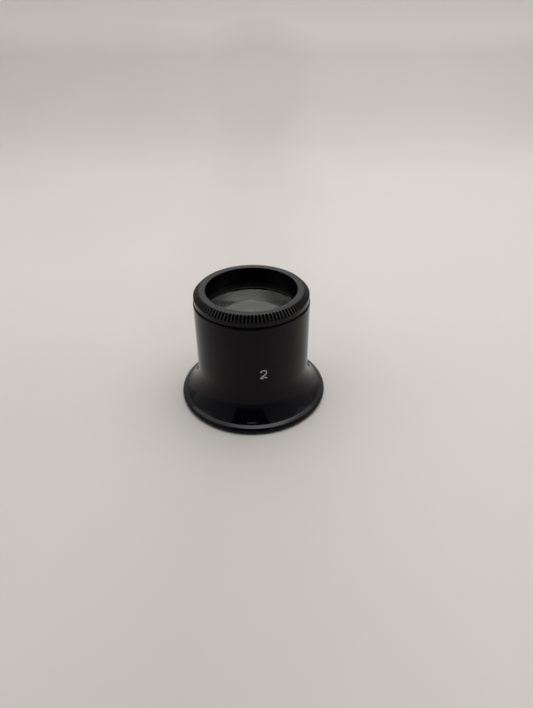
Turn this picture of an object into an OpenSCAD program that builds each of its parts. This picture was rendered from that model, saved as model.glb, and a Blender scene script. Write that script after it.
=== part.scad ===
// Watchmaker's eye loupe. It stands on its eye rim, with the optical axis along +Z and the
// origin at the centre of the rim's face. The wearer's eye is at the wide end, the work at the
// other. The lens lies on a shoulder inside the tube, under a slip ring and a knurled screw ring.

/* [Lens] */
// Diameter of the lens
lens_d = 24.8; // [22:0.2:27]
// Radius of curvature of both faces of the lens
lens_curve = 50; // [40:1:90]
// Thickness of the lens at its ground edge
lens_edge = 2.6; // [1.6:0.1:3.2]
// Depth of the lens's upper edge below the tube's top edge
lens_drop = 3; // [2.8:0.1:4]

/* [Eyecup] */
// Outside diameter of the rim that rests round the eye
rim_d = 38.2; // [36:0.2:41]
// Height of the tube's top edge above the rim's face
tube_h = 27.4; // [25:0.2:34]
// Thickness of the wall below the lens, in the tube and in the flare
wall = 1.6; // [1.2:0.1:2.2]
// Thickness of the wall round the thread
thread_wall = 1.1; // [0.9:0.1:1.6]
// Radius of the hollow curve that runs from the tube out to the rim
flare_r = 9.6; // [9:0.2:11]
// Radius of the rim's round outer edge
rim_edge_r = 1; // [0.8:0.05:1.2]
// Width of the rim from its outside to the crease where the flare starts
lip_w = 1.35; // [1.2:0.05:1.6]
// Width of the shoulder that carries the lens
seat_w = 0.9; // [0.6:0.1:1.2]
// Thickness of that shoulder at its inner edge
seat_t = 1.2; // [0.8:0.1:2]

/* [Screw ring] */
// Height of the ring's head above the gap over the tube
head_h = 2.72; // [2.4:0.02:3.6]
// How far the head's side lies inside the tube's side
head_inset = 0.2; // [0:0.05:0.4]
// Width and height of the bevel that carries the knurl
knurl_bevel = 1.05; // [0.8:0.05:1.2]
// Number of teeth in the knurl
knurl_teeth = 100; // [80:4:104]
// Depth of the knurl's grooves
knurl_depth = 0.35; // [0.2:0.01:0.36]
// Width of the knurl's grooves at the bevel
knurl_w = 0.58; // [0.4:0.02:0.66]
// How far the ring covers the lens's edge
lens_cover = 1.2; // [0.9:0.1:1.4]
// Pitch of the screw thread
thread_pitch = 0.75; // [0.5:0.05:1]
// Depth of the thread's grooves
thread_depth = 0.25; // [0.15:0.01:0.35]
// Radial step from the lens's pocket out to the thread
thread_step = 0.7; // [0.6:0.05:0.9]

/* [Slip ring] */
// Thickness of the slip ring's flange
slip_t = 0.45; // [0.4:0.05:0.8]
// Height of the collar that centres the slip ring in the screw ring
collar_h = 0.95; // [0.85:0.05:1.1]
// Wall of that collar
collar_wall = 0.5; // [0.4:0.05:0.6]
// How far the slip ring's bore stands back behind the screw ring's
slip_back = 0.25; // [0.2:0.05:0.35]

/* [Numeral] */
// Height of the numeral's centre line from its base to its top
numeral_h = 2.3; // [1.6:0.1:3]
// Width of the numeral's strokes
stroke = 0.3; // [0.24:0.01:0.4]
// Height of the numeral's centre above the rim's face
numeral_z = 14.6; // [13:0.2:18]
// Angle from -Y round to the numeral, towards +X
numeral_turn = 12; // [-180:1:180]
// Depth of the engraving
numeral_depth = 0.25; // [0.15:0.01:0.4]
// How far the white paint lies below the tube's surface
paint_sink = 0.04; // [0.02:0.01:0.1]

/* [Clearances] */
// Radial clearance round the lens in its pocket
lens_gap = 0.1; // [0.05:0.01:0.2]
// Radial running clearance of the thread, and of the collar in the screw ring
run_gap = 0.05; // [0.02:0.01:0.1]
// Gap between pieces that press on each other
seat_gap = 0.02; // [0.01:0.01:0.05]
// Gap between the tube's top edge and the screw ring's head
head_gap = 0.25; // [0.15:0.05:0.4]
// Small bevel on the turned edges
edge = 0.2; // [0.1:0.05:0.25]

/* [Hidden] */
$fn = 144;
eps = 0.01;

// Radii, from the lens outwards
lens_r = lens_d / 2;
pocket_r = lens_r + lens_gap;
thread_r = pocket_r + thread_step;
tube_r = thread_r + thread_wall;
rim_r = rim_d / 2;
bore_r = tube_r - wall;
seat_r = lens_r - seat_w;
aperture_r = lens_r - lens_cover;
skirt_r = thread_r - run_gap;
head_r = tube_r - head_inset;
slip_bore_r = aperture_r + slip_back;
collar_r = slip_bore_r + collar_wall;
slip_r = skirt_r - run_gap;

// Heights, from the lens's upper edge
lens_z = tube_h - lens_drop;
seat_z = lens_under(seat_r) - seat_gap;
slip_z = lens_over(slip_bore_r) + seat_gap;
collar_z = slip_z + slip_t;
collar_top = collar_z + collar_h;
skirt_z = collar_z + seat_gap;
head_z = tube_h + head_gap;
top_z = head_z + head_h;

// The rim's outside: a round edge, a lip that slopes up from it to the crease, and the flare,
// which starts there and ends level with the tube's side. lip_turn is how far the lip's surface
// faces up, and lip_kink the small angle at which it leaves the round edge.
lip_turn = 64.5;
lip_kink = 5;
edge_x = rim_r - rim_edge_r;
edge_z = 0.84 * rim_edge_r;
lip_x = edge_x + rim_edge_r * cos(lip_kink) * cos(lip_turn);
lip_z = edge_z + rim_edge_r * cos(lip_kink) * sin(lip_turn);
crease_r = rim_r - lip_w;
crease_z = lip_over(crease_r);
flare_x = tube_r + flare_r;
flare_z = crease_z + sqrt(pow(flare_r, 2) - pow(flare_x - crease_r, 2));

// Depth of a lens face below its middle, at radius r
function sag(r) = lens_curve - sqrt(pow(lens_curve, 2) - pow(r, 2));

// Heights of the lens's upper and lower faces at radius r
function lens_over(r) = lens_z + sag(lens_r) - sag(r);
function lens_under(r) = lens_z - lens_edge - sag(lens_r) + sag(r);

// Height of the lip's slope at radius r
function lip_over(r) = lip_z + (lip_x - r) / tan(lip_turn);

// Solid ring of round section
module torus(centre_r, centre_z, r) {
    translate([0, 0, centre_z])
        rotate_extrude()
            translate([centre_r, 0])
                circle(r = r);
}

// Row of V-shaped grooves round the axis, one thread pitch apart. depth is positive outwards.
module thread_grooves(r, low_z, high_z, depth) {
    half = abs(depth) * 0.8;
    count = floor((high_z - low_z - 2 * half) / thread_pitch) + 1;
    first_z = (low_z + high_z - (count - 1) * thread_pitch) / 2;
    back = depth > 0 ? -eps : eps;
    for (i = [0 : count - 1])
        translate([0, 0, first_z + i * thread_pitch])
            rotate_extrude()
                polygon([[r + back, -half], [r + depth, 0], [r + back, half]]);
}

// The numeral 2 as a flat outline, centred on its own middle
module numeral_outline() {
    s = numeral_h / 2.3;
    half = stroke / 2;
    bowl = 0.68 * s;
    bowl_at = [-0.08 * s, 0.65 * s];
    bowl_start = 165;
    bowl_end = -38;
    foot = [-0.84 * s, -0.86 * s];
    foot_w = 1.42 * s;
    wave = 0.14 * s;
    knot = bowl_at + bowl * [cos(bowl_end), sin(bowl_end)];
    slant = foot - knot;
    side = half * [-slant[1], slant[0]] / norm(slant);
    outer = bowl + half;
    inner = bowl - half;
    // Bowl and slanting stroke
    polygon(concat(
        [foot + side],
        [for (a = [bowl_end : 14.5 : bowl_start]) bowl_at + outer * [cos(a), sin(a)]],
        [for (a = [bowl_start : -14.5 : bowl_end]) bowl_at + inner * [cos(a), sin(a)]],
        [foot - side]
    ));
    // Waved foot
    translate(foot)
        polygon(concat(
            [[-0.75 * half, -half]],
            [for (t = [0 : 0.1 : 1]) [foot_w * t, -half - wave * sin(360 * t)]],
            [for (t = [1 : -0.1 : 0]) [foot_w * t, half - wave * sin(360 * t)]],
            [[-0.75 * half, half]]
        ));
    // Round ends
    translate(bowl_at + bowl * [cos(bowl_start), sin(bowl_start)])
        circle(r = 1.3 * half);
    translate(foot + [foot_w, 0])
        circle(r = 1.25 * half);
}

// The numeral standing out through the tube's wall, upright
module numeral_prism() {
    rotate([0, 0, numeral_turn])
        translate([0, -tube_r + 2 * numeral_depth, numeral_z])
            rotate([90, 0, 0])
                linear_extrude(height = 4 * numeral_depth)
                    numeral_outline();
}

// The hollow that the eye looks through, from the rim's face up to the lens's shoulder
module eye_hollow() {
    under_z = seat_z - seat_t;
    difference() {
        translate([0, 0, -1])
            cylinder(r = edge_x, h = flare_z + 1);
        torus(flare_x, flare_z, flare_r + wall);
    }
    rotate_extrude()
        polygon([
            [0, flare_z - 1],
            [bore_r, flare_z - eps],
            [bore_r, under_z - (bore_r - seat_r)],
            [seat_r, under_z],
            [seat_r, seat_z + eps],
            [0, seat_z + eps]
        ]);
}

// The stepped bore for the lens and the screw ring's thread
module lens_chamber() {
    pocket_top = lens_z + lens_gap;
    rotate_extrude()
        polygon([
            [0, seat_z],
            [pocket_r, seat_z],
            [pocket_r, pocket_top],
            [thread_r, pocket_top],
            [thread_r, tube_h - edge],
            [thread_r + 2 * edge, tube_h + edge],
            [0, tube_h + edge]
        ]);
    thread_grooves(thread_r, pocket_top + edge, tube_h - edge, thread_depth);
}

module eyecup() {
    color([0.06, 0.06, 0.065])
        difference() {
            union() {
                cylinder(r = tube_r, h = tube_h - edge);
                translate([0, 0, tube_h - edge])
                    cylinder(r1 = tube_r, r2 = tube_r - edge, h = edge);
                // Flare, down to just past the crease
                difference() {
                    cylinder(r = crease_r + lip_w / 4, h = flare_z);
                    torus(flare_x, flare_z, flare_r);
                }
                // Lip, and the round edge outside it
                rotate_extrude()
                    polygon([
                        [crease_r - lip_w / 3, 0],
                        [edge_x, 0],
                        [lip_x, lip_z],
                        [crease_r - lip_w / 3, lip_over(crease_r - lip_w / 3)]
                    ]);
                intersection() {
                    torus(edge_x, edge_z, rim_edge_r);
                    cylinder(r = rim_r + 1, h = 3 * rim_edge_r);
                }
            }
            eye_hollow();
            lens_chamber();
            difference() {
                numeral_prism();
                cylinder(r = tube_r - numeral_depth, h = tube_h);
            }
        }
}

module numeral_fill() {
    color([0.9, 0.9, 0.88])
        difference() {
            intersection() {
                numeral_prism();
                cylinder(r = tube_r - paint_sink, h = tube_h);
            }
            cylinder(r = tube_r - numeral_depth, h = tube_h);
        }
}

module lens() {
    color([0.75, 0.82, 0.85, 0.4])
        intersection() {
            translate([0, 0, lens_over(0) - lens_curve])
                sphere(r = lens_curve);
            translate([0, 0, lens_under(0) + lens_curve])
                sphere(r = lens_curve);
            translate([0, 0, lens_under(0) - 1])
                cylinder(r = lens_r, h = lens_over(0) - lens_under(0) + 2);
        }
}

module slip_ring() {
    color([0.1, 0.1, 0.1])
        rotate_extrude()
            polygon([
                [slip_bore_r, slip_z],
                [slip_r - edge, slip_z],
                [slip_r, slip_z + edge],
                [slip_r, collar_z],
                [collar_r, collar_z],
                [collar_r, collar_top],
                [slip_bore_r, collar_top]
            ]);
}

// One groove of the knurl, cut square across the middle of the bevel
module knurl_cutter() {
    over = 0.3;
    half = knurl_w / 2 * (1 + over / knurl_depth);
    translate([head_r - knurl_bevel / 2, 0, top_z - knurl_bevel / 2])
        rotate([0, -45, 0])
            translate([0, 0, -1.5 * knurl_bevel])
                linear_extrude(height = 3 * knurl_bevel)
                    polygon([[-knurl_depth, 0], [over, -half], [over, half]]);
}

module screw_ring() {
    color([0.09, 0.09, 0.1])
        difference() {
            rotate_extrude()
                polygon([
                    [aperture_r, top_z],
                    [head_r - knurl_bevel, top_z],
                    [head_r, top_z - knurl_bevel],
                    [head_r, head_z + edge],
                    [head_r - edge, head_z],
                    [skirt_r, head_z],
                    [skirt_r, skirt_z + edge],
                    [skirt_r - edge, skirt_z],
                    [collar_r + run_gap, skirt_z],
                    [collar_r + run_gap, collar_top + seat_gap],
                    [aperture_r, collar_top + seat_gap]
                ]);
            for (i = [0 : knurl_teeth - 1])
                rotate([0, 0, (i + 0.5) * 360 / knurl_teeth])
                    knurl_cutter();
            thread_grooves(skirt_r, skirt_z + edge, head_z - edge, -thread_depth);
        }
}

eyecup();
numeral_fill();
lens();
slip_ring();
screw_ring();
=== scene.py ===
"""The looks of a watchmaker's loupe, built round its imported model. The loupe's sizes are in
millimetres until they reach a mesh, which is in metres; the stage's sizes are in metres."""
import math

import bpy
import numpy as np
from mathutils import Matrix, Vector
from mathutils.geometry import delaunay_2d_cdt, intersect_line_line_2d


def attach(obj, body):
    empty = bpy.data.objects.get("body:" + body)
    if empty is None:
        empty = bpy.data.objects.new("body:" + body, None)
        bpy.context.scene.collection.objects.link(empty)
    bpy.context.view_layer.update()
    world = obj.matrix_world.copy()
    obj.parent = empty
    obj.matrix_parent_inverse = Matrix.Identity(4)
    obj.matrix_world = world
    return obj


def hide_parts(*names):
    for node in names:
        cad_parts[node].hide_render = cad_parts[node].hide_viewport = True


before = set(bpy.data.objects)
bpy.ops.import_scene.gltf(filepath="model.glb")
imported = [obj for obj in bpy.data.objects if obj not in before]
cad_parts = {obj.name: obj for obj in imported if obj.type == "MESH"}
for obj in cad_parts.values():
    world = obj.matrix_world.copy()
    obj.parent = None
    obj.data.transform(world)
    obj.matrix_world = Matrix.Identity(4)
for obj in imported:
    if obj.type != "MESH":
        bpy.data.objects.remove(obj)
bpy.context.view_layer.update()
scene = bpy.context.scene
MM = 0.001

# Camera, at the photograph's distance, tilt and roll
FOCAL_PX = 532.0
LONG_SIDE_PX = 708
SENSOR = 36
TILT = 0.6099
ROLL = -0.0062
EYE = Vector((3.560, -114.297, 90.797)) * MM


def photo_camera():
    data = bpy.data.cameras.new("camera")
    camera = bpy.data.objects.new("camera", data)
    scene.collection.objects.link(camera)
    right = Vector((1, 0, 0))
    up = Vector((0, math.sin(TILT), math.cos(TILT)))
    back = right.cross(up)
    turn = Matrix.Rotation(ROLL, 3, back)
    axes = Matrix((turn @ right, turn @ up, back)).transposed()
    camera.matrix_world = Matrix.Translation(EYE) @ axes.to_4x4()
    data.sensor_width = SENSOR
    data.lens = FOCAL_PX / LONG_SIDE_PX * data.sensor_width
    data.clip_start = 5 * MM
    scene.camera = camera


photo_camera()


# Profiles, as lists of corners (r, z, fillet)

FILLET_STEPS = 4


def rounded(corners):
    """A closed profile from corners that run anticlockwise, with r to the right. A fillet of 0
    leaves a sharp corner, and None a point on a smooth curve. Returns the points and the rows
    that are sharp."""
    points, sharp = [], []
    count = len(corners)
    for i, (r, z, fillet) in enumerate(corners):
        here = Vector((r, z))
        if not fillet:
            if fillet == 0:
                sharp.append(len(points))
            points.append(here)
            continue
        before = (Vector(corners[i - 1][:2]) - here).normalized()
        after = (Vector(corners[(i + 1) % count][:2]) - here).normalized()
        half = before.angle(after) / 2
        centre = here + (before + after).normalized() * fillet / math.sin(half)
        start = here + before * fillet / math.tan(half) - centre
        end = here + after * fillet / math.tan(half) - centre
        for j in range(FILLET_STEPS + 1):
            points.append(centre + start.slerp(end, j / FILLET_STEPS) * fillet)
    return np.array([tuple(p) for p in points]), sharp


def arc(r, z, radius, start, end, steps, first=None, last=None):
    """Corners along an arc from start to end in degrees, with the fillets of its two ends."""
    found = []
    for i in range(steps + 1):
        a = math.radians(start + (end - start) * i / steps)
        fillet = first if i == 0 else last if i == steps else None
        found.append((r + radius * math.cos(a), z + radius * math.sin(a), fillet))
    return found


def upright(r, z0, z1, steps):
    """Corners along a straight side from z0 to z1, close enough together to carry a thread."""
    return [(r, z0 + (z1 - z0) * i / steps, None) for i in range(steps + 1)]


def turned(profile, columns):
    """The same profile at each column, as [column, row] arrays of radius and height."""
    return np.tile(profile[:, 0], (columns, 1)), np.tile(profile[:, 1], (columns, 1))


def around(columns):
    """The columns' angles."""
    return np.arange(columns) * 2 * math.pi / columns


# Turned meshes

# A length below this counts as none
NO_LENGTH = 1e-15
UNWORN = 0.5


def unit(vectors):
    return vectors / np.maximum(np.linalg.norm(vectors, axis=-1, keepdims=True), NO_LENGTH)


def edge_wear(xyz, flat):
    """How far each point of a closed [column, row] surface stands out from its neighbours, where
    flat holds the faces' normals. It is UNWORN where the surface is flat."""
    sides = ((1, 0), (-1, 0), (1, 1), (-1, 1))
    out = unit(flat)
    out = out + np.roll(out, 1, 0)
    out = unit(out + np.roll(out, 1, 1))
    lean = sum(unit(np.roll(xyz, step, axis) - xyz) for step, axis in sides) / len(sides)
    bend = np.arccos(np.clip((out * lean).sum(-1), -1, 1)) / math.pi
    return (bend + sum(np.roll(bend, step, axis) for step, axis in sides)) / (len(sides) + 1)


class Solid:
    """A mesh being gathered: points with their wear, faces with their corners' normals and their
    materials' numbers."""

    def __init__(self):
        self.points, self.wear = [], []
        self.faces, self.normals, self.slots = [], [], []

    def point(self, xyz):
        """Adds an unworn point and returns its number."""
        self.points.append(xyz)
        self.wear.append(UNWORN)
        return len(self.points) - 1

    def face(self, points, normals, slot=0):
        self.faces.append(points)
        self.normals += normals
        self.slots.append(slot)

    def revolve(self, radii, heights, angles, sharp=(), ball=None, skip=None, slot=None):
        """Adds the surface through [column, row] arrays of radius and height, whose rows in sharp
        are edges. A profile that starts and ends on the axis is open, and any other is closed.
        ball(points, normals) puts right the normals of a known curve, skip(column, row) leaves
        out faces, and slot(column, row) gives a material's number."""
        columns, rows = radii.shape
        across = radii * np.cos(angles)[:, None], radii * np.sin(angles)[:, None]
        xyz = np.stack([*across, heights], -1)
        poles = bool(np.all(radii[:, [0, -1]] == 0))
        runs = rows - 1 if poles else rows
        near = xyz[:, np.arange(runs)]
        far = xyz[:, (np.arange(runs) + 1) % rows]
        corners = np.stack([near, np.roll(near, -1, 0), np.roll(far, -1, 0), far], 2)
        diagonals = corners[:, :, 2] - corners[:, :, 0], corners[:, :, 3] - corners[:, :, 1]
        flat = np.cross(*diagonals)
        soft = np.ones(rows)
        soft[list(sharp)] = 0
        if poles:
            soft[0] = soft[-1] = 0
        normals = np.zeros(corners.shape)
        for c, (a, b) in enumerate(((0, 0), (1, 0), (1, 1), (0, 1))):
            own = flat + np.roll(flat, 1 - 2 * a, 0)
            beside = np.roll(own, 1 - 2 * b, 1)
            row = (np.arange(runs) + b) % rows
            normals[:, :, c] = own + beside * soft[row][None, :, None]
        normals = unit(normals)
        if ball:
            normals = ball(corners, normals)
        base = len(self.points)
        self.points += xyz.reshape(-1, 3).tolist()
        wear = np.full((columns, rows), UNWORN) if poles else edge_wear(xyz, flat)
        self.wear += wear.ravel().tolist()
        normals = normals.tolist()
        for i in range(columns):
            this, after = base + i * rows, base + (i + 1) % columns * rows
            for k in range(runs):
                if skip and skip(i, k):
                    continue
                n = (k + 1) % rows
                face = [this + k, after + k, after + n, this + n]
                if poles and k == 0:
                    face[0] = face[1] = base
                if poles and n == rows - 1:
                    face[2] = face[3] = base + n
                keep = [c for c in range(4) if face[c] not in face[:c]]
                up = normals[i][k]
                self.face([face[c] for c in keep], [up[c] for c in keep], slot(i, k) if slot else 0)

    def object(self, name, materials, body, stands_for):
        """Makes the piece, lets it ride on its body and take the place of its CAD node."""
        mesh = bpy.data.meshes.new(name)
        used = sorted({p for face in self.faces for p in face})
        place = {p: i for i, p in enumerate(used)}
        points = [[c * MM for c in self.points[p]] for p in used]
        mesh.from_pydata(points, [], [[place[p] for p in face] for face in self.faces])
        for material in materials:
            mesh.materials.append(material)
        mesh.polygons.foreach_set("material_index", self.slots)
        mesh.polygons.foreach_set("use_smooth", [True] * len(self.faces))
        mesh.normals_split_custom_set(self.normals)
        wear = mesh.attributes.new("wear", "FLOAT", "POINT")
        wear.data.foreach_set("value", [self.wear[p] for p in used])
        piece = bpy.data.objects.new(name, mesh)
        scene.collection.objects.link(piece)
        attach(piece, body)
        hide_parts(stands_for)


# Sizes that several pieces share
CHAMFER = 0.2
BORE_R = 12.7
THREAD_R = 13.2
LENS_Z, LENS_EDGE, LENS_CURVE = 24.4, 2.6, 50.0
COLLAR_TOP = 26.0533
ROUND_COLUMNS = 240

# Two lengths this close count as the same
SAME = 1e-6

# The screw thread, right-handed; its crest and flank are shares of the groove's half width
PITCH = 0.75
THREAD_DEPTH = 0.25
THREAD_FADE = 0.25
THREAD_CREST, THREAD_FLANK = 0.18, 0.7


def thread(heights, angles, low, high):
    """Depth of the helical groove at each height and angle, fading out at low and high."""
    turns = (heights - angles[:, None] / (2 * math.pi) * PITCH) / PITCH
    slope = 1 - np.abs(2 * (turns - np.floor(turns)) - 1)
    groove = np.clip((slope - THREAD_CREST) / THREAD_FLANK, 0, 1)
    rise = np.clip((heights - low) / THREAD_FADE, 0, 1)
    fall = np.clip((high - heights) / THREAD_FADE, 0, 1)
    return THREAD_DEPTH * groove * (rise * fall)


# The eyecup
TUBE_R, TUBE_H = 14.3, 27.4
POCKET_R, POCKET_TOP = 12.5, 24.5
SEAT_R, SEAT_Z, SEAT_T = 11.5, 21.5585, 1.2
FLARE_R, WALL = 9.6, 1.6
RIM_R, EDGE_R, EDGE_Z = 19.093, 1.0, 0.84
LIP_W, LIP_R, LIP_TURN = 1.35, 4.0, 57.5
EDGE_STEPS, LIP_STEPS, FLARE_STEPS, MOUTH_STEPS, BORE_STEPS = 20, 10, 44, 36, 42
CUP_COLUMNS = 360

# The window in the tube's side that the numeral is cut into
WINDOW = range(276, 288)
WINDOW_LOW, WINDOW_HIGH = 12.8, 16.8
CUT_R = 14.05
CUT_EDGE = 0.035
MITRE_LIMIT = 0.5
CROSSING_REACH = 12
CROSSING_SHRINK = 0.7
GRID_STEP, GRID_GAP = 0.3, 0.12
JOIN_WITHIN = 1e-7


def cup_profile():
    """The rim's edge, the lip, the flare, the tube, the threaded bore, the lens's pocket and seat,
    and the inside down to the mouth."""
    edge_x = RIM_R - EDGE_R
    lip_x = edge_x - (LIP_R - EDGE_R) * math.cos(math.radians(LIP_TURN))
    lip_z = EDGE_Z - (LIP_R - EDGE_R) * math.sin(math.radians(LIP_TURN))
    crease_r = RIM_R - LIP_W
    crease_turn = math.degrees(math.acos((crease_r - lip_x) / LIP_R))
    crease_z = lip_z + math.sqrt(LIP_R**2 - (crease_r - lip_x) ** 2)
    flare_x = TUBE_R + FLARE_R
    flare_end = math.degrees(math.acos((flare_x - crease_r) / FLARE_R))
    flare_z = crease_z + math.sqrt(FLARE_R**2 - (flare_x - crease_r) ** 2)
    inner_r = FLARE_R + WALL
    mouth_turn = 180 + math.degrees(math.asin(flare_z / inner_r))
    foot = -math.degrees(math.asin(EDGE_Z / EDGE_R))
    near = 0.01
    corners = arc(edge_x, EDGE_Z, EDGE_R, foot, LIP_TURN, EDGE_STEPS, first=0)
    corners += arc(lip_x, lip_z, LIP_R, LIP_TURN, crease_turn, LIP_STEPS, last=0.3)[1:]
    corners += arc(flare_x, flare_z, FLARE_R, 180 + flare_end, 180, FLARE_STEPS)[1:]
    corners += [(TUBE_R, WINDOW_LOW, None), (TUBE_R, WINDOW_HIGH, None)]
    corners += [(TUBE_R, TUBE_H - CHAMFER, 0.08), (TUBE_R - CHAMFER, TUBE_H, 0.08)]
    corners += [(THREAD_R + CHAMFER, TUBE_H, 0.05), (THREAD_R, TUBE_H - CHAMFER, 0)]
    corners += upright(THREAD_R, TUBE_H - CHAMFER - near, POCKET_TOP + near, BORE_STEPS)
    corners += [(THREAD_R, POCKET_TOP, 0), (POCKET_R, POCKET_TOP, 0.05)]
    corners += [(POCKET_R, SEAT_Z, 0), (SEAT_R, SEAT_Z, 0.06), (SEAT_R, SEAT_Z - SEAT_T, 0.2)]
    corners += [(BORE_R, SEAT_Z - SEAT_T - BORE_R + SEAT_R, 0.3)]
    corners += arc(flare_x, flare_z, inner_r, 180, mouth_turn, MOUTH_STEPS, last=0.35)
    return rounded(corners)


def numeral_outline():
    """The outline of the CAD numeral's outer face, anticlockwise as (round the tube, up)."""
    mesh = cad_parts["numeral_fill"].data
    at = [tuple(round(c / MM, 5) for c in v.co) for v in mesh.vertices]
    outer = max(math.hypot(x, y) for x, y, z in at)
    edges = set()
    for face in mesh.polygons:
        ring = [at[v] for v in face.vertices]
        if all(math.hypot(x, y) > outer - 0.01 for x, y, z in ring):
            for a, b in zip(ring, ring[1:] + ring[:1]):
                if (b, a) in edges:
                    edges.remove((b, a))
                else:
                    edges.add((a, b))
    after = dict(edges)
    start = point = min(after)
    loop = []
    while True:
        x, y, z = point
        loop.append(Vector((math.atan2(y, x) % (2 * math.pi) * TUBE_R, z)))
        point = after[point]
        if point == start:
            break
    area = sum(a.cross(b) for a, b in zip(loop, loop[1:] + loop[:1]))
    return loop if area > 0 else loop[::-1]


def inside(point, loop):
    """Whether a point lies in a closed outline."""
    hit = False
    for a, b in zip(loop, loop[1:] + loop[:1]):
        if (a.y > point.y) != (b.y > point.y):
            hit ^= point.x < a.x + (point.y - a.y) / (b.y - a.y) * (b.x - a.x)
    return hit


def widened(outline, ways):
    """The outline moved out by ways, and by less in the corners where it would cross itself."""
    count = len(outline)
    share = [1.0] * count
    while True:
        wide = [here + way * s for here, way, s in zip(outline, ways, share)]
        crossed = set()
        for i in range(count):
            for j in range(i + 2, i + CROSSING_REACH):
                run = [i, (i + 1) % count, j % count, (j + 1) % count]
                if len(set(run)) == 4 and intersect_line_line_2d(*(wide[k] for k in run)):
                    crossed.update(k % count for k in range(i, j + 2))
        if not crossed:
            return wide
        for k in crossed:
            share[k] *= CROSSING_SHRINK


def on_tube(spot, r):
    """The point at radius r above a spot, which is (round the tube, up)."""
    a = spot.x / TUBE_R
    return [r * math.cos(a), r * math.sin(a), spot.y]


def off_tube(spot):
    """The tube's own normal at a spot."""
    return [math.cos(spot.x / TUBE_R), math.sin(spot.x / TUBE_R), 0]


def leaning(way, spot, lift):
    """The normal of a wall at a spot that faces way along the tube and lift away from it."""
    a = spot.x / TUBE_R
    v = Vector((-math.sin(a) * way.x, math.cos(a) * way.x, way.y))
    v += Vector((math.cos(a), math.sin(a), 0)) * lift
    return list(v.normalized())


def add_facing_out(cup, spots, triangles, points, hole=None):
    """Adds triangles that lie round the tube, all facing out, apart from those in the hole."""
    for tri in triangles:
        a, b, c = (spots[t] for t in tri)
        if (b - a).cross(c - a) < 0:
            tri = tri[::-1]
        if not (hole and inside((a + b + c) / 3, hole)):
            cup.face([points[t] for t in tri], [off_tube(spots[t]) for t in tri])


def loop_edges(ring):
    return list(zip(ring, ring[1:] + ring[:1]))


def cut_numeral(cup, rows, row, angles):
    """Fills the window in the tube's side, with the numeral cut into it and its edge broken. The
    window lies between this row of the profile and the next."""
    outline = numeral_outline()
    count = len(outline)
    ways, side = [], []
    for i, here in enumerate(outline):
        before = (here - outline[i - 1]).normalized()
        after = (outline[(i + 1) % count] - here).normalized()
        out = Vector((before.y + after.y, -before.x - after.x)).normalized()
        side.append(out)
        ways.append(out * CUT_EDGE / max(MITRE_LIMIT, out.dot(Vector((after.y, -after.x)))))
    wide = widened(outline, ways)

    columns = [*WINDOW, WINDOW[-1] + 1]
    border = [Vector((angles[i] * TUBE_R, z)) for z in (WINDOW_LOW, WINDOW_HIGH) for i in columns]
    known = [i * rows + row + k for k in (0, 1) for i in columns]
    grid = []
    low, high = border[0], border[-1]
    for a in np.arange(low.x + GRID_STEP, high.x - GRID_STEP / 2, GRID_STEP):
        for b in np.arange(low.y + GRID_STEP, high.y - GRID_STEP / 2, GRID_STEP):
            spot = Vector((a, b))
            if not inside(spot, wide) and min((spot - w).length for w in wide) > GRID_GAP:
                grid.append(spot)
    n = len(columns)
    fixed = loop_edges([*range(n), *range(2 * n - 1, n - 1, -1)])
    fixed += loop_edges(list(range(2 * n, 2 * n + count)))
    spots, _, triangles, *_ = delaunay_2d_cdt(border + wide + grid, fixed, [], 0, JOIN_WITHIN)
    outer = known + [cup.point(on_tube(s, TUBE_R)) for s in spots[len(known) :]]
    add_facing_out(cup, spots, triangles, outer, hole=wide)

    lip = [cup.point(on_tube(s, TUBE_R - CUT_EDGE)) for s in outline]
    foot = [cup.point(on_tube(s, CUT_R)) for s in outline]
    top = outer[2 * n : 2 * n + count]
    for i, j in loop_edges(list(range(count))):
        for upper, lower, lift in ((top, lip, 1), (lip, foot, 0)):
            wall = [upper[i], upper[j], lower[j], lower[i]]
            cup.face(wall, [leaning(-side[k], outline[k], lift) for k in (i, j, j, i)])
    fixed = loop_edges(list(range(count)))
    spots, _, triangles, *_ = delaunay_2d_cdt(outline, fixed, [], 1, JOIN_WITHIN)
    add_facing_out(cup, spots, triangles, foot)


def make_cup(body, lip):
    profile, sharp = cup_profile()
    angles = around(CUP_COLUMNS)
    radii, heights = turned(profile, CUP_COLUMNS)
    in_bore = (heights > POCKET_TOP) & (heights < TUBE_H - CHAMFER)
    in_bore &= np.abs(radii - THREAD_R) < SAME
    groove = thread(heights, angles, POCKET_TOP + 0.1, TUBE_H - 0.25)
    radii = radii + np.where(in_bore, groove, 0)
    from_window = np.abs(profile[:, 1] - WINDOW_LOW) + np.abs(profile[:, 0] - TUBE_R)
    row = int(np.argmin(from_window))
    # The lip's rows take a much shinier copy of the cup's plastic, a painted highlight along the
    # rim
    lip_highlight_rows = range(EDGE_STEPS, EDGE_STEPS + LIP_STEPS)
    cup = Solid()
    cup.revolve(
        radii,
        heights,
        angles,
        sharp,
        skip=lambda i, k: k == row and i in WINDOW,
        slot=lambda i, k: int(k in lip_highlight_rows),
    )
    cut_numeral(cup, len(profile), row, angles)
    cup.object("cup_shell", [body, lip], "eyecup", "eyecup")


# The lens
LENS_R = 12.4
LENS_BEVEL, BEVEL_HEIGHT = 0.12, 0.096
FACE_STEPS = 40


def sag(r):
    """How far the lens's face has curved away at radius r."""
    return LENS_CURVE - math.sqrt(LENS_CURVE**2 - r**2)


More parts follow.
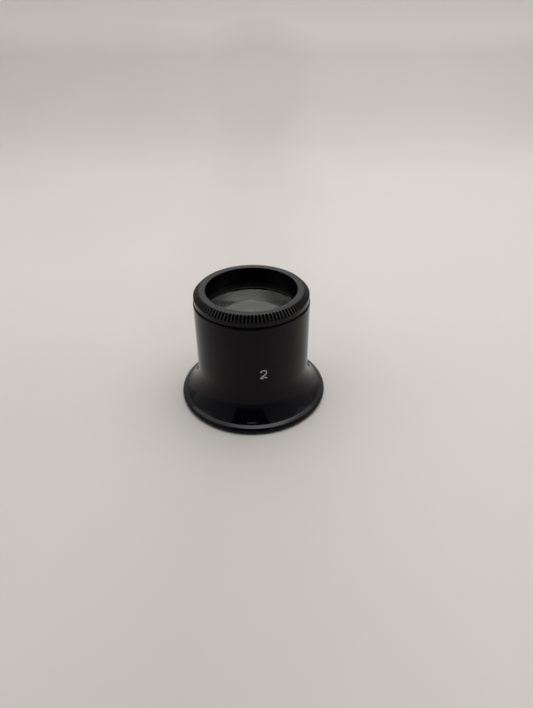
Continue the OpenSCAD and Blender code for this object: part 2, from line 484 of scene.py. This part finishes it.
def make_lens(glass, ground):
    """Both faces are parts of spheres; the edge is ground, with a small bevel at each face."""
    top, bottom = LENS_Z + sag(LENS_R), LENS_Z - LENS_EDGE - sag(LENS_R)
    run = [(LENS_R - LENS_BEVEL) * i / FACE_STEPS for i in range(FACE_STEPS + 1)]
    under = [(r, bottom + sag(r), None) for r in run]
    over = [(r, top - sag(r), None) for r in reversed(run)]
    under[-1] = (*under[-1][:2], 0)
    over[0] = (*over[0][:2], 0)
    edge = [(LENS_R, LENS_Z - LENS_EDGE + BEVEL_HEIGHT, 0), (LENS_R, LENS_Z - BEVEL_HEIGHT, 0)]
    profile, sharp = rounded(under + edge + over)

    def ball(points, normals):
        lower, upper = slice(0, FACE_STEPS), slice(-FACE_STEPS, None)
        for rows, centre in ((lower, bottom + LENS_CURVE), (upper, top - LENS_CURVE)):
            normals[:, rows] = unit(points[:, rows] - np.array((0, 0, centre)))
        return normals

    def slot(column, row):
        return int(FACE_STEPS <= row <= FACE_STEPS + 2)

    lens = Solid()
    angles = around(ROUND_COLUMNS)
    lens.revolve(*turned(profile, ROUND_COLUMNS), angles, sharp, ball=ball, slot=slot)
    lens.object("lens_glass", [glass, ground], "eyecup", "lens")


# The slip ring
SLIP_R, SLIP_OUTER, SLIP_Z = 11.45, 13.1, 24.6533
COLLAR_Z, COLLAR_R = 25.1033, 11.95


def make_slip_ring(material):
    profile, sharp = rounded(
        [
            (SLIP_R, SLIP_Z, 0.05),
            (SLIP_OUTER - CHAMFER, SLIP_Z, 0.04),
            (SLIP_OUTER, SLIP_Z + CHAMFER, 0.04),
            (SLIP_OUTER, COLLAR_Z, 0.05),
            (COLLAR_R, COLLAR_Z, 0),
            (COLLAR_R, COLLAR_TOP, 0.08),
            (SLIP_R, COLLAR_TOP, 0.08),
        ]
    )
    slip = Solid()
    slip.revolve(*turned(profile, ROUND_COLUMNS), around(ROUND_COLUMNS), sharp)
    slip.object("slip_washer", [material], "slip_ring", "slip_ring")


# The screw ring
TOP_Z, HEAD_R, HEAD_Z, BEVEL = 30.37, 14.1, 27.65, 1.05
SKIRT_R, SKIRT_Z, SKIRT_STEPS = 13.15, 25.1233, 38
APERTURE_R, COUNTERBORE_R = 11.2, 12.0
COLLAR_PLAY = 0.02

# The knurl; a tooth's columns lie at shares of half the groove's width from the groove's middle
TEETH = 100
TOOTH_DEPTH, TOOTH_GAP = 0.35, 0.58
TOOTH_COLUMNS = np.array([0, 0.12, 0.4, 0.7, 0.93, 1.07])
TOOTH_WEAR = 0.03
# Material slots; the grooves' slot carries painted shade and the crests' slot a painted highlight
SIDE, FACE, SHADED_GROOVE, LIT_CREST = range(4)


def ring_profile(depth):
    """The screw ring's profile where the knurl is cut this deep into the bevel."""
    back = depth * math.sqrt(2)
    near = 0.01
    return rounded(
        [
            (COUNTERBORE_R, SKIRT_Z, 0.06),
            (SKIRT_R - CHAMFER, SKIRT_Z, 0.04),
            (SKIRT_R, SKIRT_Z + CHAMFER, 0),
            *upright(SKIRT_R, SKIRT_Z + CHAMFER + near, HEAD_Z - near, SKIRT_STEPS),
            (SKIRT_R, HEAD_Z, 0),
            (HEAD_R - CHAMFER, HEAD_Z, 0.06),
            (HEAD_R, HEAD_Z + CHAMFER, 0.06),
            (HEAD_R, TOP_Z - BEVEL - back, 0.05),
            (HEAD_R - BEVEL - back, TOP_Z, 0.05),
            (APERTURE_R, TOP_Z, 0.1),
            (APERTURE_R, COLLAR_TOP + COLLAR_PLAY, 0.05),
            (COUNTERBORE_R, COLLAR_TOP + COLLAR_PLAY, 0),
        ]
    )


def make_screw_ring(materials):
    """The knurl's grooves are V-shaped, cut square across the bevel, with slightly worn crests.
    The materials are those of SIDE, FACE, SHADED_GROOVE and LIT_CREST; the grooves' is a darker,
    duller copy of the plastic, as painted shade, and the crests' a lighter, shinier copy, as a
    painted highlight."""
    full, sharp = ring_profile(0)
    cut, _ = ring_profile(TOOTH_DEPTH)
    tooth = 2 * math.pi / TEETH
    half = TOOTH_GAP / 2 / (HEAD_R - BEVEL / 2)
    offsets = np.concatenate([TOOTH_COLUMNS * half, tooth - TOOTH_COLUMNS[:0:-1] * half])
    angles = (np.arange(TEETH)[:, None] * tooth + offsets[None, :]).ravel() + tooth / 2

    # Height above the groove's bottom, rounded at the bottom and where it meets the bevel
    across = np.tile(np.minimum(offsets, tooth - offsets), TEETH)
    rise = across[:, None] * full[None, :, 0] * TOOTH_DEPTH / (TOOTH_GAP / 2)
    rise = np.sqrt(rise**2 + TOOTH_WEAR**2) - TOOTH_WEAR
    soft = TOOTH_DEPTH + rise - np.sqrt((TOOTH_DEPTH - rise) ** 2 + TOOTH_WEAR**2)
    depth = np.clip(1 - 0.5 * soft / TOOTH_DEPTH, 0, 1)
    radii = full[None, :, 0] + depth * (cut - full)[None, :, 0]
    heights = full[None, :, 1] + depth * (cut - full)[None, :, 1]

    skirt = (full[:, 1] > SKIRT_Z + CHAMFER) & (full[:, 1] < HEAD_Z)
    skirt &= np.abs(full[:, 0] - SKIRT_R) < SAME
    groove = thread(heights, angles, SKIRT_Z + 0.25, HEAD_Z - 0.1)
    radii = radii - np.where(skirt[None, :], groove, 0)
    top = full[:, 1] > TOP_Z - 0.03
    knurled = np.abs(full - cut).sum(1) > SAME
    last = len(TOOTH_COLUMNS) - 1

    def slot(column, row):
        if knurled[row] and knurled[row + 1]:
            # Groove faces take the painted-shade copy of the plastic, and the crests the
            # painted-highlight copy
            return LIT_CREST if abs(column % len(offsets) - last) <= 1 else SHADED_GROOVE
        return FACE if top[row] and top[row + 1] else SIDE

    ring = Solid()
    ring.revolve(radii, heights, angles, sharp, slot=slot)
    ring.object("knurled_ring", materials, "screw_ring", "screw_ring")


# Materials

DUST = (0.2, 0.195, 0.185)


class Look:
    """A material's node tree. Its textures run on the mesh's own coordinates, in millimetres."""

    def __init__(self, name, **values):
        self.material = bpy.data.materials.new(name)
        self.material.use_nodes = True
        self.tree = self.material.node_tree
        self.shader = self.tree.nodes["Principled BSDF"]
        for key, value in values.items():
            self.shader.inputs[key.replace("_", " ")].default_value = value
        at = self.add("TexCoord").outputs["Object"]
        self.where = self.add("Mapping", Vector=at, Scale=(1000, 1000, 1000)).outputs[0]

    def add(self, kind, settings=None, **inputs):
        """Adds a node. An input is named by its label, with _ for a space, or by _ and its
        number."""
        node = self.tree.nodes.new("ShaderNode" + kind)
        for key, value in (settings or {}).items():
            setattr(node, key, value)
        for key, value in inputs.items():
            place = int(key[1:]) if key[1:].isdigit() else key.replace("_", " ")
            self.put(node.inputs[place], value)
        return node

    def put(self, socket, value):
        """Links or sets an input."""
        if isinstance(value, bpy.types.NodeSocket):
            self.tree.links.new(value, socket)
        else:
            socket.default_value = value

    def noise(self, scale, detail=2.0, rough=0.5, where=None):
        shape = {"Scale": scale, "Detail": detail, "Roughness": rough}
        return self.add("TexNoise", Vector=where or self.where, **shape).outputs[0]

    def sum(self, kind, a, b, clamp=False):
        return self.add("Math", {"operation": kind, "use_clamp": clamp}, _0=a, _1=b).outputs[0]

    def fit(self, value, low, high, to_low, to_high):
        """Takes low to high over to to_low to to_high, and stays there beyond them."""
        return self.add("MapRange", _0=value, _1=low, _2=high, _3=to_low, _4=to_high).outputs[0]

    def blend(self, amount, a, b):
        node = self.add("Mix", {"data_type": "RGBA"}, _0=amount)
        for index, value in ((6, a), (7, b)):
            self.put(node.inputs[index], (*value, 1) if isinstance(value, tuple) else value)
        return node.outputs[2]

    def wear(self):
        """The mesh's own value for how far an edge stands out."""
        return self.add("Attribute", {"attribute_name": "wear"}).outputs["Fac"]

    def specks(self, scale, size, share):
        """Small round specks: scale per millimetre, size in cells, and the share of cells with
        one."""
        cells = self.add("TexVoronoi", {"feature": "F1"}, Vector=self.where, Scale=scale)
        near = self.fit(cells.outputs["Distance"], size, size * 0.6, 0, 1)
        pick = self.add("SeparateColor", Color=cells.outputs["Color"]).outputs[0]
        return self.sum("MULTIPLY", near, self.sum("LESS_THAN", pick, share))

    def bump(self, height, distance, under=None):
        """A normal from a height in millimetres, on top of another normal if there is one."""
        node = self.add("Bump", Height=height, Distance=distance * MM, Strength=1.0)
        if under:
            self.put(node.inputs["Normal"], under)
        return node.outputs[0]

    def drive(self, key, value):
        self.put(self.shader.inputs[key], value)

    def dusty(self, rough, colour, dust, dull, pale):
        """Sets roughness and colour, with dust that dulls and pales them."""
        self.drive("Roughness", self.sum("ADD", rough, self.sum("MULTIPLY", dust, dull)))
        self.drive("Base Color", self.blend(self.sum("MULTIPLY", dust, pale), colour, DUST))


def cup_look(name, shine):
    """Polished black plastic, with faint waviness, wipe marks, rubbed edges and a little dust."""
    look = Look(name, Roughness=0.09, IOR=1.5, Specular_IOR_Level=shine)
    worn = look.fit(look.wear(), 0.515, 0.56, 0, 1)
    smudge = look.fit(look.noise(0.11, 3, 0.55), 0.42, 0.72, 0, 1)
    dust = look.specks(1.1, 0.045, 0.05)
    rough = look.fit(smudge, 0, 1, 0.075, 0.12)
    rough = look.sum("ADD", rough, look.sum("MULTIPLY", worn, 0.12))
    black, rubbed = (0.0026, 0.0018, 0.0038), (0.016, 0.016, 0.016)
    colour = look.blend(look.sum("MULTIPLY", worn, 0.35), black, rubbed)
    look.dusty(rough, colour, dust, 0.4, 0.5)
    wave = look.bump(look.noise(0.09, 1, 0.4), 0.012)
    look.drive("Normal", look.bump(look.noise(2.2, 2, 0.5), 0.0006, wave))
    return look.material


def ring_side_look(name, shine, black, rubbed):
    """Turned black plastic: a rubbed edge here and there, and a little dust. Its shine and black
    are set per use; the knurl's grooves and crests take darker and lighter copies of it, which are
    painted shade and a painted highlight.
    """
    look = Look(name, Roughness=0.2, IOR=1.5, Specular_IOR_Level=shine)
    worn = look.fit(look.wear(), 0.51, 0.57, 0, 1)
    patch = look.fit(look.noise(0.35, 3, 0.6), 0.35, 0.7, 0.17, 0.23)
    dust = look.specks(1.6, 0.05, 0.05)
    rough = look.sum("ADD", patch, look.sum("MULTIPLY", worn, 0.08))
    colour = look.blend(look.sum("MULTIPLY", worn, 0.5), black, rubbed)
    look.dusty(rough, colour, dust, 0.3, 0.45)
    look.drive("Normal", look.bump(look.noise(6.0, 3, 0.6), 0.0015))
    return look.material


def ring_face_look():
    """The ring's top face: turned black plastic with fine circles and a satin sheen."""
    look = Look("ring_face", Roughness=0.3, IOR=1.5)
    flat = look.add("VectorMath", {"operation": "MULTIPLY"}, _0=look.where, _1=(1, 1, 0))
    radius = look.add("VectorMath", {"operation": "LENGTH"}, _0=flat.outputs[0]).outputs["Value"]
    circles = look.noise(9.0, 2, 0.6, look.add("CombineXYZ", X=radius).outputs[0])
    dust = look.specks(1.6, 0.05, 0.06)
    rough = look.fit(look.noise(0.35, 3, 0.6), 0.35, 0.7, 0.26, 0.34)
    look.dusty(rough, (0.004, 0.0038, 0.0045), dust, 0.3, 0.45)
    grain = look.bump(look.noise(6.0, 3, 0.6), 0.002)
    look.drive("Normal", look.bump(circles, 0.0035, grain))
    return look.material


def slip_look():
    """Dull black plastic."""
    look = Look("slip_plastic", Roughness=0.5, IOR=1.48)
    grain = look.noise(7.0, 3, 0.6)
    look.drive("Roughness", look.fit(grain, 0.3, 0.7, 0.42, 0.6))
    dark, light = (0.003, 0.003, 0.0032), (0.006, 0.006, 0.006)
    look.drive("Base Color", look.blend(look.noise(0.8, 2), dark, light))
    look.drive("Normal", look.bump(grain, 0.004))
    return look.material


def paint_look():
    """White paint wiped into the cut, a little uneven and greyer in places."""
    look = Look("white_paint", Roughness=0.5, IOR=1.5)
    patch = look.noise(2.6, 3, 0.6)
    white, grey = (0.62, 0.62, 0.615), (0.48, 0.48, 0.475)
    look.drive("Base Color", look.blend(look.fit(patch, 0.35, 0.7, 0, 1), white, grey))
    look.drive("Roughness", look.fit(patch, 0.3, 0.7, 0.42, 0.6))
    look.drive("Normal", look.bump(look.noise(5.0, 3, 0.6), 0.02))
    return look.material


def glass_look():
    """Clear crown glass with the faintest film and a few specks of dust."""
    look = Look("lens_glass", Roughness=0.0, IOR=1.52, Transmission_Weight=1.0)
    film = look.fit(look.noise(0.22, 4, 0.6), 0.5, 0.75, 0, 0.012)
    dust = look.specks(0.9, 0.05, 0.05)
    look.drive("Roughness", look.sum("ADD", film, look.sum("MULTIPLY", dust, 0.35)))
    look.drive("Base Color", look.blend(dust, (0.985, 0.995, 0.99), (0.75, 0.75, 0.73)))
    return look.material


def ground_look():
    """The lens's fine-ground edge."""
    look = Look("ground_glass", Roughness=0.45, IOR=1.52, Transmission_Weight=0.7)
    grain = look.noise(9.0, 3, 0.6)
    look.drive("Roughness", look.fit(grain, 0.3, 0.7, 0.38, 0.55))
    look.drive("Base Color", look.blend(grain, (0.62, 0.64, 0.63), (0.75, 0.77, 0.76)))
    look.drive("Normal", look.bump(grain, 0.004))
    return look.material


# The lip gets the same plastic with a much higher shine, as a painted highlight
make_cup(cup_look("cup_plastic", 0.15), cup_look("lip_painted_highlight", 0.44))
make_lens(glass_look(), ground_look())
make_slip_ring(slip_look())
make_screw_ring(
    [
        ring_side_look("ring_plastic", 0.18, (0.0022, 0.0018, 0.003), (0.02, 0.019, 0.02)),
        ring_face_look(),
        # The knurl's grooves: a darker, duller copy of the plastic, as painted shade
        ring_side_look("knurl_groove_painted_shade", 0.05, (0.0012, 0.001, 0.0016), (0.01, 0.0095, 0.01)),
        # The knurl's crests: a lighter, shinier copy of the plastic, as a painted highlight
        ring_side_look("knurl_crest_painted_highlight", 0.42, (0.003, 0.0026, 0.0038), (0.03, 0.029, 0.03)),
    ]
)

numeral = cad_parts["numeral_fill"]
numeral.data.materials.clear()
numeral.data.materials.append(paint_look())


# Stage and light, in metres

SHEET_HALF, SHEET_FRONT, SHEET_TOP = 0.9, -0.7, 0.9
BEND_Y, BEND_R, BEND_POINTS = 0.25, 0.12, 24


def stage_object(name, points, faces):
    mesh = bpy.data.meshes.new(name)
    mesh.from_pydata(points, [], faces)
    piece = bpy.data.objects.new(name, mesh)
    scene.collection.objects.link(piece)
    return piece


def sweep():
    """A pale sheet that lies under the loupe and curves up behind it."""
    run = [(SHEET_FRONT, 0.0)]
    for a in np.linspace(0, math.pi / 2, BEND_POINTS):
        run.append((BEND_Y + BEND_R * math.sin(a), BEND_R - BEND_R * math.cos(a)))
    run.append((BEND_Y + BEND_R, SHEET_TOP))
    points = [(x, y, z) for y, z in run for x in (-SHEET_HALF, SHEET_HALF)]
    faces = [(2 * i, 2 * i + 1, 2 * i + 3, 2 * i + 2) for i in range(len(run) - 1)]
    sheet = stage_object("sweep", points, faces)
    sheet.data.polygons.foreach_set("use_smooth", [True] * len(faces))

    # Painted light and shade: its colour is lighter from the front to about 200 mm behind, darker
    # again towards the bend, lighter higher up the backdrop, lighter to the sides and towards the
    # right. It follows the distance along it and to the sides, in millimetres
    look = Look("sheet_painted_light", Roughness=0.6)
    x, y, z = look.add("SeparateXYZ", Vector=look.where).outputs
    away = look.sum("ADD", y, z)
    aside = look.sum("ABSOLUTE", x, 0)
    fade = look.fit(away, -90, 200, 0, 1)
    fade = look.sum("SUBTRACT", fade, look.fit(away, 80, 330, 0, 1.3))
    fade = look.sum("ADD", fade, look.fit(away, 390, 450, 0, 1.8))
    fade = look.sum("ADD", fade, look.fit(aside, 10, 40, 0, 0.35))
    fade = look.sum("ADD", fade, look.fit(x, -60, 60, -0.03, 0.25))
    cloud = look.fit(look.noise(0.012, 3, 0.5), 0.3, 0.7, -0.1, 0.1)
    fade = look.sum("ADD", fade, cloud, clamp=True)
    # Painted light and shade: the colour goes from the darker tone to the lighter one with fade
    look.drive("Base Color", look.blend(fade, (0.67, 0.641, 0.612), (0.82, 0.787, 0.752)))
    look.drive("Normal", look.bump(look.noise(1.5, 3, 0.6), 0.01))
    sheet.data.materials.append(look.material)


def card(name, centre, size, target, colour, strength, ends=None):
    """A flat card that the camera doesn't see: a soft light, or a dark flag where colour is black.
    If ends is given, the strength goes over to it between 90 and 320 mm from the middle."""
    w, h = size[0] / 2, size[1] / 2
    piece = stage_object(name, [(-w, -h, 0), (w, -h, 0), (w, h, 0), (-w, h, 0)], [(0, 1, 2, 3)])
    piece.location = centre
    toward = Vector(target) - Vector(centre)
    piece.rotation_euler = toward.to_track_quat("Z", "Y").to_euler()
    piece.visible_camera = False
    look = Look(name, Roughness=1.0, Base_Color=(0, 0, 0, 1), Specular_IOR_Level=0.0)
    look.drive("Emission Color", (*colour, 1))
    look.drive("Emission Strength", strength)
    if ends:
        along = look.add("SeparateXYZ", Vector=look.where).outputs["X"]
        along = look.sum("ABSOLUTE", along, 0)
        look.drive("Emission Strength", look.fit(along, 90, 320, strength, ends))
    piece.data.materials.append(look.material)


def surroundings():
    """A pale room, dimmer on the camera's side."""
    world = bpy.data.worlds.new("room")
    scene.world = world
    world.use_nodes = True
    tree = world.node_tree
    where = tree.nodes.new("ShaderNodeTexCoord")
    split = tree.nodes.new("ShaderNodeSeparateXYZ")
    fade = tree.nodes.new("ShaderNodeMapRange")
    mix = tree.nodes.new("ShaderNodeMix")
    mix.data_type = "RGBA"
    fade.inputs["From Min"].default_value = -1.0
    fade.inputs["From Max"].default_value = 0.9
    mix.inputs[6].default_value = (0.2, 0.2, 0.21, 1)
    mix.inputs[7].default_value = (0.85, 0.83, 0.80, 1)
    tree.links.new(where.outputs["Generated"], split.inputs[0])
    tree.links.new(split.outputs["Y"], fade.inputs["Value"])
    tree.links.new(fade.outputs[0], mix.inputs[0])
    tree.links.new(mix.outputs[2], tree.nodes["Background"].inputs["Color"])


sweep()
surroundings()
card("soft_light", (0.08, 0.08, 0.6), (2.2, 0.54), (0.08, 0.08, 0), (1.0, 0.985, 0.965), 2.4, 0.95)
card("back_light", (0.0, 0.345, 0.4), (0.5, 0.5), (0, 0, 0.4), (1.0, 0.99, 0.975), 0.79)
card("dark_flag", (-0.03, -0.28, 0.25), (0.32, 0.44), (0, 0, 0.05), (0, 0, 0), 0.0)
card("small_lamp", (-0.012, -0.2, 0.231), (0.055, 0.008), (0, -0.017, 0), (1.0, 0.93, 0.82), 5.0)

scene.view_settings.view_transform = "Standard"
